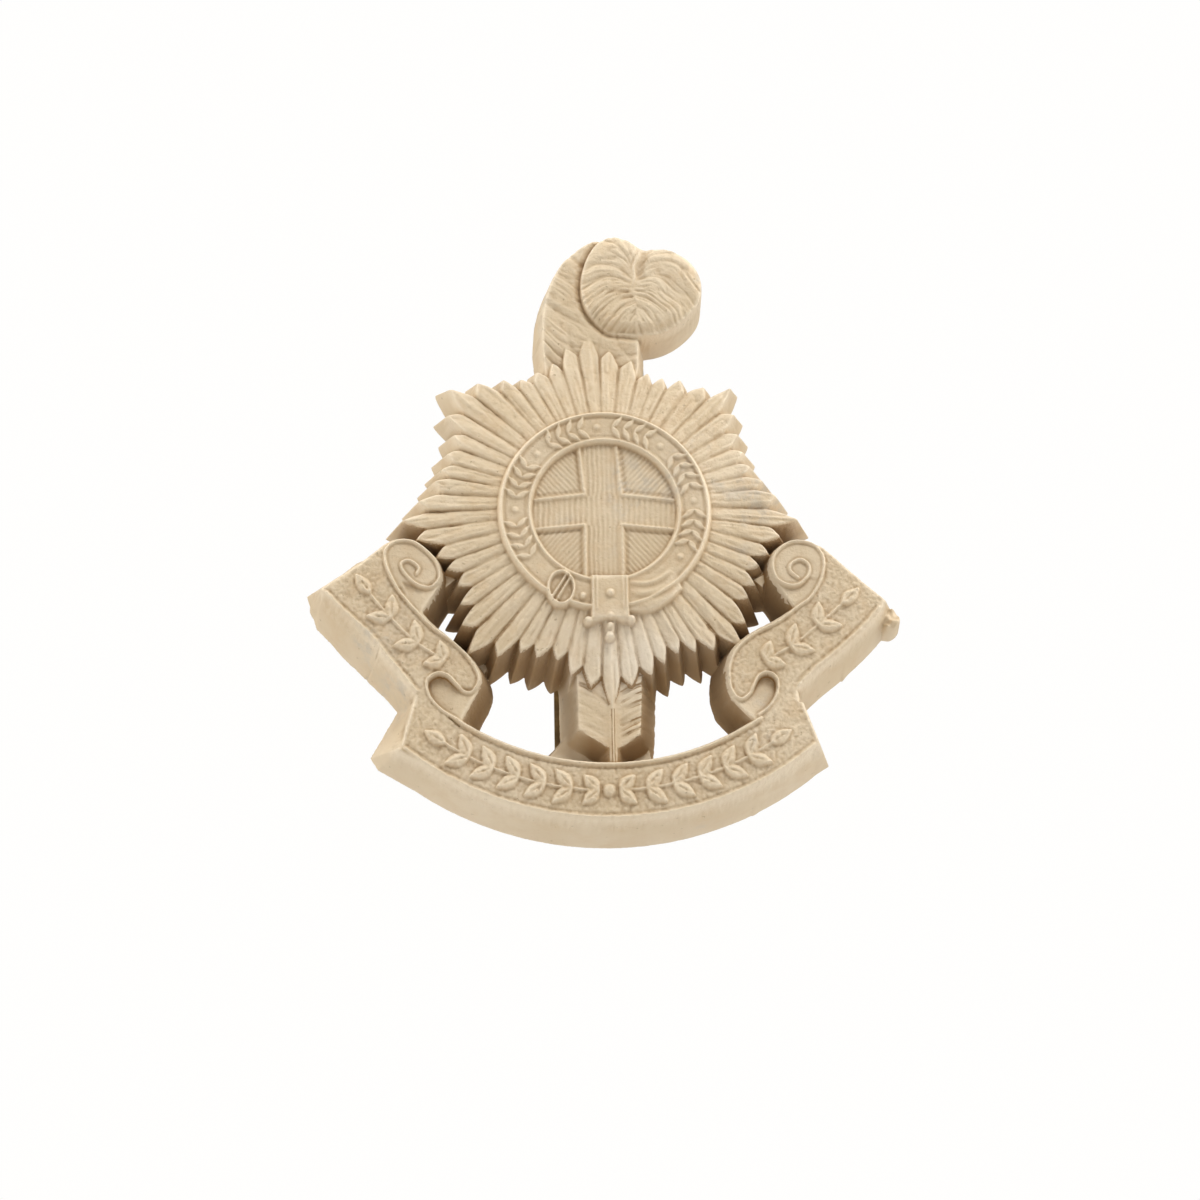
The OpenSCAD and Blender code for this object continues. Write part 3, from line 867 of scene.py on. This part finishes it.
def add_wear(mesh, solid, x, y, z):
    """Where the plastic is brown with dirt and painted shade, pale with wear and a painted highlight,
    or worn pale with a painted sheen, from how the relief lies around each vertex.
    """
    on_face = ramp(-y, 2.6, 3.4)
    on_scroll = ramp(np.hypot(x, z), 14.5, 16)
    dip = sample(blur(solid, 0.35) - solid, x, z) / 0.13
    sink = sample(blur(solid, 1.1) - solid, x, z) / 0.6
    # groove: the fine grooves, browned by dirt and by painted shade
    add_values(mesh, "groove", on_face * np.clip(dip, 0, 1))
    # crest: the crests, paled by wear and by a painted highlight
    add_values(mesh, "crest", on_face * np.clip(-dip, 0, 1))
    # hollow: the broader hollows, most on the ribbon, browned by dirt and by painted shade
    add_values(mesh, "hollow_dirt_and_shade", on_face * (0.4 + 0.6 * on_scroll) * np.clip(sink, 0, 1))
    # A pale worn patch on the star's lower part, with a painted sheen
    add_values(mesh, "worn_patch_and_sheen", on_face * bump((x - 1.5) / 9) * bump((z + 11.5) / 4.5))
    add_values(mesh, "face", on_face)
    add_values(mesh, "depth", np.clip(1 + y / 4.5, 0, 1))


def add_painted_wall_shade(mesh, solid, x, y, z, corner, faces_back):
    """How much shade is painted on the deep walls between the star, the quill and the ribbon."""
    inner = ramp(np.hypot(x, z + 4), 17.5, 15.5) * ramp(z, 1.0, -1.5)
    painted_wall_shade = ramp(sample(blur(solid, 7.0), x, z), 2.0, 2.6) * inner * ramp(y, -4.9, -4.6)
    painted_wall_shade *= 1 - bump((x + 3) / 2) * ramp(z, -12.5, -13.5)  # the quill's left side gets more light
    centre_x, centre_y, centre_z = read(mesh.polygons, "center").T / MM
    radius = np.hypot(centre_x, centre_z)
    star_face = STAR_CROWN - (radius - STRAP_OUTER) * STAR_FALL
    below_face = centre_y + np.where(radius < STAR_REACH, star_face, GROUND)
    steep = (faces_back < 0.5) * ramp(faces_back, -0.85, -0.65) * ramp(below_face, 0.2, 0.4)
    add_values(mesh, "painted_wall_shade", painted_wall_shade[corner] * np.repeat(steep, 3), "CORNER")


def set_normals(mesh, relief, x, z, corner, faces_back):
    """Smooth shading by the relief's own slopes, which thinning the mesh would blur."""
    slope_z, slope_x = np.gradient(relief, PITCH)
    front_normal = np.column_stack([-sample(slope_x, x, z), -np.ones(len(x)), -sample(slope_z, x, z)])
    front_normal /= np.linalg.norm(front_normal, axis=1)[:, None]
    is_front = np.repeat(faces_back < 0.5, 3)[:, None]
    normals = np.where(is_front, front_normal[corner], (0.0, 1.0, 0.0))
    mesh.polygons.foreach_set("use_smooth", np.ones(len(mesh.polygons), bool))
    mesh.normals_split_custom_set(normals.astype(np.float32))


def make_moulding():
    relief = make_relief()
    vertices, faces = closed_mesh(relief)
    mesh = thinned(new_mesh("moulding_raw", vertices * MM, faces), MAX_TRIANGLES)
    mesh.name = "moulding_visual"
    solid = np.clip(relief, 0, None)
    x, y, z = read(mesh.vertices, "co").T / MM
    corner = read(mesh.loops, "vertex_index", 1, np.int32).ravel()
    faces_back = read(mesh.polygons, "normal")[:, 1]
    add_wear(mesh, solid, x, y, z)
    add_painted_wall_shade(mesh, solid, x, y, z, corner, faces_back)
    set_normals(mesh, relief, x, z, corner, faces_back)

    piece = new_object("moulding_visual", mesh)
    mesh.materials.append(acetate())
    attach(piece, "badge")
    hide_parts("moulding")


# --- Materials ---


class Nodes:
    """The nodes of a material or a world, with short ways to add and join them."""

    def __init__(self, owner, shader="Principled BSDF"):
        owner.use_nodes = True
        self.owner = owner
        self.tree = owner.node_tree
        self.shader = self.tree.nodes[shader]

    def add(self, kind, inputs=(), **settings):
        node = self.tree.nodes.new(kind)
        for key, value in settings.items():
            setattr(node, key, value)
        for key, value in dict(inputs).items():
            self.put(node.inputs[key], value)
        return node

    def put(self, socket, value):
        if isinstance(value, bpy.types.NodeSocket):
            self.tree.links.new(value, socket)
        else:
            socket.default_value = value

    def shade(self, name, value):
        self.put(self.shader.inputs[name], value)

    def place(self):
        return self.add("ShaderNodeTexCoord").outputs["Object"]

    def value(self, name):
        return self.add("ShaderNodeAttribute", attribute_name=name).outputs["Fac"]

    def noise(self, per_metre, detail=4, roughness=0.55, vector=None):
        inputs = {"Scale": per_metre, "Detail": detail, "Roughness": roughness}
        inputs["Vector"] = vector or self.place()
        return self.add("ShaderNodeTexNoise", inputs).outputs["Fac"]

    def ramp(self, value, low, high, start=0.0, end=1.0, shape="SMOOTHSTEP"):
        inputs = {"Value": value, "From Min": low, "From Max": high, "To Min": start, "To Max": end}
        return self.add("ShaderNodeMapRange", inputs, interpolation_type=shape).outputs["Result"]

    def math(self, operation, *values):
        node = self.add("ShaderNodeMath", operation=operation)
        for socket, value in zip(node.inputs, values):
            self.put(socket, value)
        return node.outputs[0]

    def times(self, a, b):
        return self.math("MULTIPLY", a, b)

    def mix(self, share, a, b):
        node = self.add("ShaderNodeMix", data_type="RGBA")
        self.put(node.inputs["Factor"], share)
        self.put(node.inputs["A"], a)
        self.put(node.inputs["B"], b)
        return node.outputs["Result"]

    def bump(self, height, distance, strength=1.0, below=None):
        inputs = {"Height": height, "Distance": distance, "Strength": strength}
        if below is not None:
            inputs["Normal"] = below
        return self.add("ShaderNodeBump", inputs).outputs["Normal"]


TAN, PALE_TAN = (0.59, 0.46, 0.295, 1), (0.65, 0.526, 0.362, 1)
DARK_TAN, SIDE_TAN = (0.57, 0.41, 0.24, 1), (0.62, 0.50, 0.345, 1)
CREST_WEAR_AND_HIGHLIGHT_CREAM, WORN_PATCH_AND_SHEEN_CREAM = (0.78, 0.66, 0.49, 1), (0.80, 0.71, 0.58, 1)
GROOVE_DIRT_AND_SHADE_BROWN, HOLLOW_DIRT_AND_SHADE_BROWN = (0.33, 0.205, 0.095, 1), (0.31, 0.19, 0.085, 1)
PAINTED_SHADE_BROWN, SPECK_BROWN = (0.25, 0.13, 0.035, 1), (0.25, 0.17, 0.09, 1)
MARK_GREY = (0.42, 0.385, 0.33, 1)


def acetate():
    """Satin tan plastic: mottled, with grey marks, brown in its grooves and hollows from dirt and
    painted shade, pale on its crests from wear and a painted highlight, painted shade on deep walls.
    """
    n = Nodes(bpy.data.materials.new("acetate"))
    colour = n.mix(n.ramp(n.noise(160, 5), 0.35, 0.65), TAN, PALE_TAN)
    colour = n.mix(n.ramp(n.noise(620, 3), 0.45, 0.7, 0, 0.5), colour, DARK_TAN)
    sides = n.times(n.value("depth"), n.ramp(n.noise(300, 4), 0.35, 0.6, 0.2, 0.6))
    colour = n.mix(sides, colour, SIDE_TAN)
    # Grooves brown with dirt and painted shade
    grooves = n.times(n.value("groove"), n.ramp(n.noise(260, 3), 0.2, 0.6, 0.55, 1.0))
    colour = n.mix(n.times(grooves, 0.7), colour, GROOVE_DIRT_AND_SHADE_BROWN)
    # Hollows brown with dirt and painted shade, in fine specks
    pit_dirt_and_shade = n.times(n.value("hollow_dirt_and_shade"), n.ramp(n.noise(1500, 3, 0.6), 0.38, 0.62, 0.5, 1.0))
    colour = n.mix(pit_dirt_and_shade, colour, HOLLOW_DIRT_AND_SHADE_BROWN)
    # Crests pale with wear and a painted highlight
    colour = n.mix(n.times(n.value("crest"), 0.65), colour, CREST_WEAR_AND_HIGHLIGHT_CREAM)
    # A pale worn patch with a painted sheen on the star's lower part
    worn_patch_and_sheen = n.times(n.value("worn_patch_and_sheen"), n.ramp(n.noise(500, 4), 0.3, 0.6, 0.4, 1.0))
    colour = n.mix(n.times(worn_patch_and_sheen, 0.6), colour, WORN_PATCH_AND_SHEEN_CREAM)
    marks = n.times(n.ramp(n.noise(115, 6, 0.6), 0.56, 0.7), n.ramp(n.noise(900, 4, 0.7), 0.4, 0.6))
    colour = n.mix(n.times(marks, 0.5), colour, MARK_GREY)
    # Painted shade on the deep walls of the gaps
    colour = n.mix(n.times(n.value("painted_wall_shade"), 0.72), colour, PAINTED_SHADE_BROWN)
    colour = n.mix(n.ramp(n.noise(2600, 2, 0.5), 0.7, 0.76, 0, 0.5), colour, SPECK_BROWN)
    n.shade("Base Color", colour)
    worn = n.times(n.value("crest"), -0.1)
    roughness = n.math("ADD", n.ramp(n.noise(420, 4), 0.3, 0.7, 0.44, 0.6), worn)
    n.shade("Roughness", n.math("MAXIMUM", roughness, n.value("painted_wall_shade")))
    n.shader.inputs["IOR"].default_value = 1.48
    n.shader.inputs["Specular IOR Level"].default_value = 0.4
    stipple = n.times(n.noise(4200, 3, 0.6), n.ramp(n.value("face"), 0, 1, 0.15, 1.0))
    pores = n.bump(n.noise(2000, 3, 0.6), 0.00005, 0.5, n.bump(stipple, 0.00009, 1.0))
    n.shade("Normal", n.bump(n.noise(700, 4, 0.6), 0.0001, 0.5, pores))
    return n.owner


OLD_BRASS, BRIGHT_BRASS = (0.30, 0.20, 0.085, 1), (0.43, 0.30, 0.135, 1)
STAIN_BROWN = (0.13, 0.085, 0.045, 1)


def brass():
    """Dull rolled brass strip: brown with age, brighter where it rubs, with faint lengthwise lines."""
    n = Nodes(bpy.data.materials.new("aged_brass"))
    stretched = n.add("ShaderNodeMapping", {"Vector": n.place(), "Scale": (9.0, 1.0, 0.6)})
    lines = n.noise(600, 4, 0.6, stretched.outputs["Vector"])
    stain = n.ramp(n.noise(260, 6, 0.65), 0.38, 0.66)
    colour = n.mix(n.ramp(lines, 0.3, 0.7), OLD_BRASS, BRIGHT_BRASS)
    n.shade("Base Color", n.mix(n.times(stain, 0.75), colour, STAIN_BROWN))
    n.shade("Metallic", n.ramp(stain, 0, 1, 0.95, 0.7))
    roughness = n.math("ADD", n.ramp(stain, 0, 1, 0.36, 0.6), n.ramp(lines, 0.3, 0.7, 0, 0.1))
    n.shade("Roughness", roughness)
    n.shade("Normal", n.bump(lines, 0.00002, 0.6))
    return n.owner


# --- Stage, lights and camera ---


FLOOR_SIZE, FLOOR_LEVEL, FLOOR_WHITE = 3, -0.15, 0.6
SKY_WHITE = (1, 0.995, 0.985, 1)


def stage_floor():
    bpy.ops.mesh.primitive_plane_add(size=FLOOR_SIZE, location=(0, 0, FLOOR_LEVEL))
    floor = bpy.context.object
    floor.name = "floor"
    n = Nodes(bpy.data.materials.new("floor_white"))
    n.shade("Base Color", (FLOOR_WHITE, FLOOR_WHITE, FLOOR_WHITE, 1))
    n.shade("Roughness", n.ramp(n.noise(30), 0.3, 0.7, 0.8, 0.9))
    floor.data.materials.append(n.owner)


def sky():
    """Plain white to the camera. It lights most in the plane of the badge, like a white table
    all around it, and some from the front."""
    n = Nodes(bpy.data.worlds.new("studio"), "Background")
    bpy.context.scene.world = n.owner
    direction = n.add("ShaderNodeTexCoord").outputs["Generated"]
    towards = n.add("ShaderNodeSeparateXYZ", {"Vector": direction}).outputs
    front = n.ramp(towards["Y"], 0.5, 0.2, 0.05, 0.54, "LINEAR")  # hardly any from behind
    level = n.ramp(n.math("ABSOLUTE", towards["Y"]), 0.4, 0.1, 0.0, 1.7, "LINEAR")
    above = n.ramp(towards["Z"], -0.7, 0.0, 0.0, 1.0, "LINEAR")  # less and less from below
    beside = n.ramp(n.math("ABSOLUTE", towards["X"]), 0.3, 0.8, 0.0, 1.45, "LINEAR")
    around = n.times(level, n.math("ADD", above, beside))
    seen = n.add("ShaderNodeLightPath").outputs["Is Camera Ray"]
    strength = n.add("ShaderNodeMix", {"Factor": seen, "A": n.math("ADD", front, around), "B": 1.0})
    n.shade("Strength", strength.outputs["Result"])
    n.shade("Color", SKY_WHITE)


def lamp(name, place, size, power):
    """A round area light that points at the middle of the badge."""
    light = bpy.data.lights.new(name, "AREA")
    light.shape = "DISK"
    light.size = size
    light.energy = power
    holder = new_object(name, light)
    holder.location = place
    holder.rotation_euler = (-Vector(place)).to_track_quat("-Z", "Y").to_euler()


CAMERA_AZIMUTH, CAMERA_ELEVATION, CAMERA_ROLL = -3.3, -21.6, 1.1  # degrees
CAMERA_DISTANCE = 0.25
CAMERA_LENS = 98.25
ORBIT_CENTRE = (0, -0.005, 0)  # where the distance is measured from, at the badge's face
AIM = (-0.00047, -0.005, -0.00722)  # near the middle of the badge's height, on its face


def camera():
    data = bpy.data.cameras.new("camera")
    data.lens = CAMERA_LENS
    data.clip_start, data.clip_end = 0.01, 10
    holder = new_object("camera", data)
    azimuth, elevation = math.radians(CAMERA_AZIMUTH), math.radians(CAMERA_ELEVATION)
    towards = Vector((
        math.sin(azimuth) * math.cos(elevation),
        -math.cos(azimuth) * math.cos(elevation),
        math.sin(elevation),
    ))
    holder.location = Vector(ORBIT_CENTRE) + towards * CAMERA_DISTANCE
    look = (Vector(AIM) - holder.location).to_track_quat("-Z", "Y").to_matrix()
    holder.rotation_euler = (look @ Matrix.Rotation(-math.radians(CAMERA_ROLL), 3, "Z")).to_euler()
    bpy.context.scene.camera = holder


def main():
    bpy.context.scene.view_settings.view_transform = "Standard"
    make_moulding()
    aged = brass()
    for name in ("upper_blade_root", "upper_blade", "lower_blade_root", "lower_blade"):
        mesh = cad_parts[name].data
        mesh.materials.clear()
        mesh.materials.append(aged)
    stage_floor()
    sky()
    lamp("key", place=(0.10, -0.25, 0.28), size=0.16, power=0.75)
    lamp("behind", place=(0.0, 0.7, 0.05), size=0.2, power=1.6)
    camera()


main()
